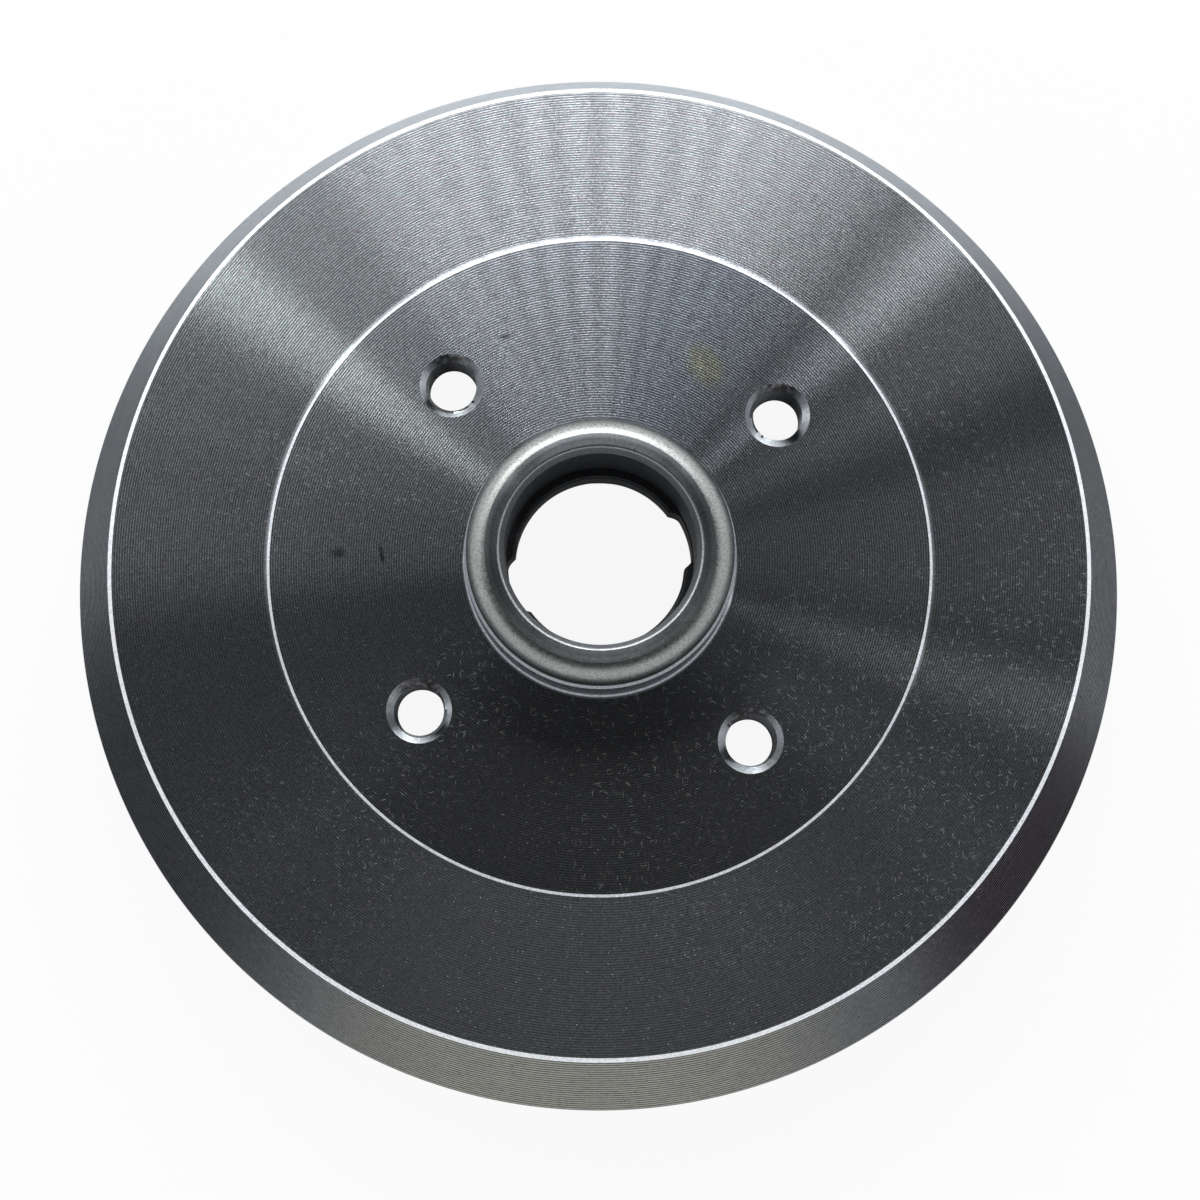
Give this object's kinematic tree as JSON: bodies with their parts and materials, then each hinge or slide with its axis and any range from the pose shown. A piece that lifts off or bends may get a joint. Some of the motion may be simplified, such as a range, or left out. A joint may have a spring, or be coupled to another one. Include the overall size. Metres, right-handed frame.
{
  "type": "brake drum",
  "caption": "Turned cast-iron rear brake drum with a built-in bearing hub, wheel bolt holes and a centring spigot, lying open side down.",
  "frame": {"origin": "centre of the wheel's mounting face, on the hub's axis", "axes": "+Z along the hub's axis, out of the mounting face towards the wheel; the bolt holes lie at 45 degrees to +X and +Y"},
  "size_m": [0.2366, 0.2366, 0.074],
  "materials": {
    "turned_iron": "bare iron, turned in fine grooves"
  },
  "bodies": {
    "root": {"brake_drum": "turned_iron"}
  },
  "joints": []
}
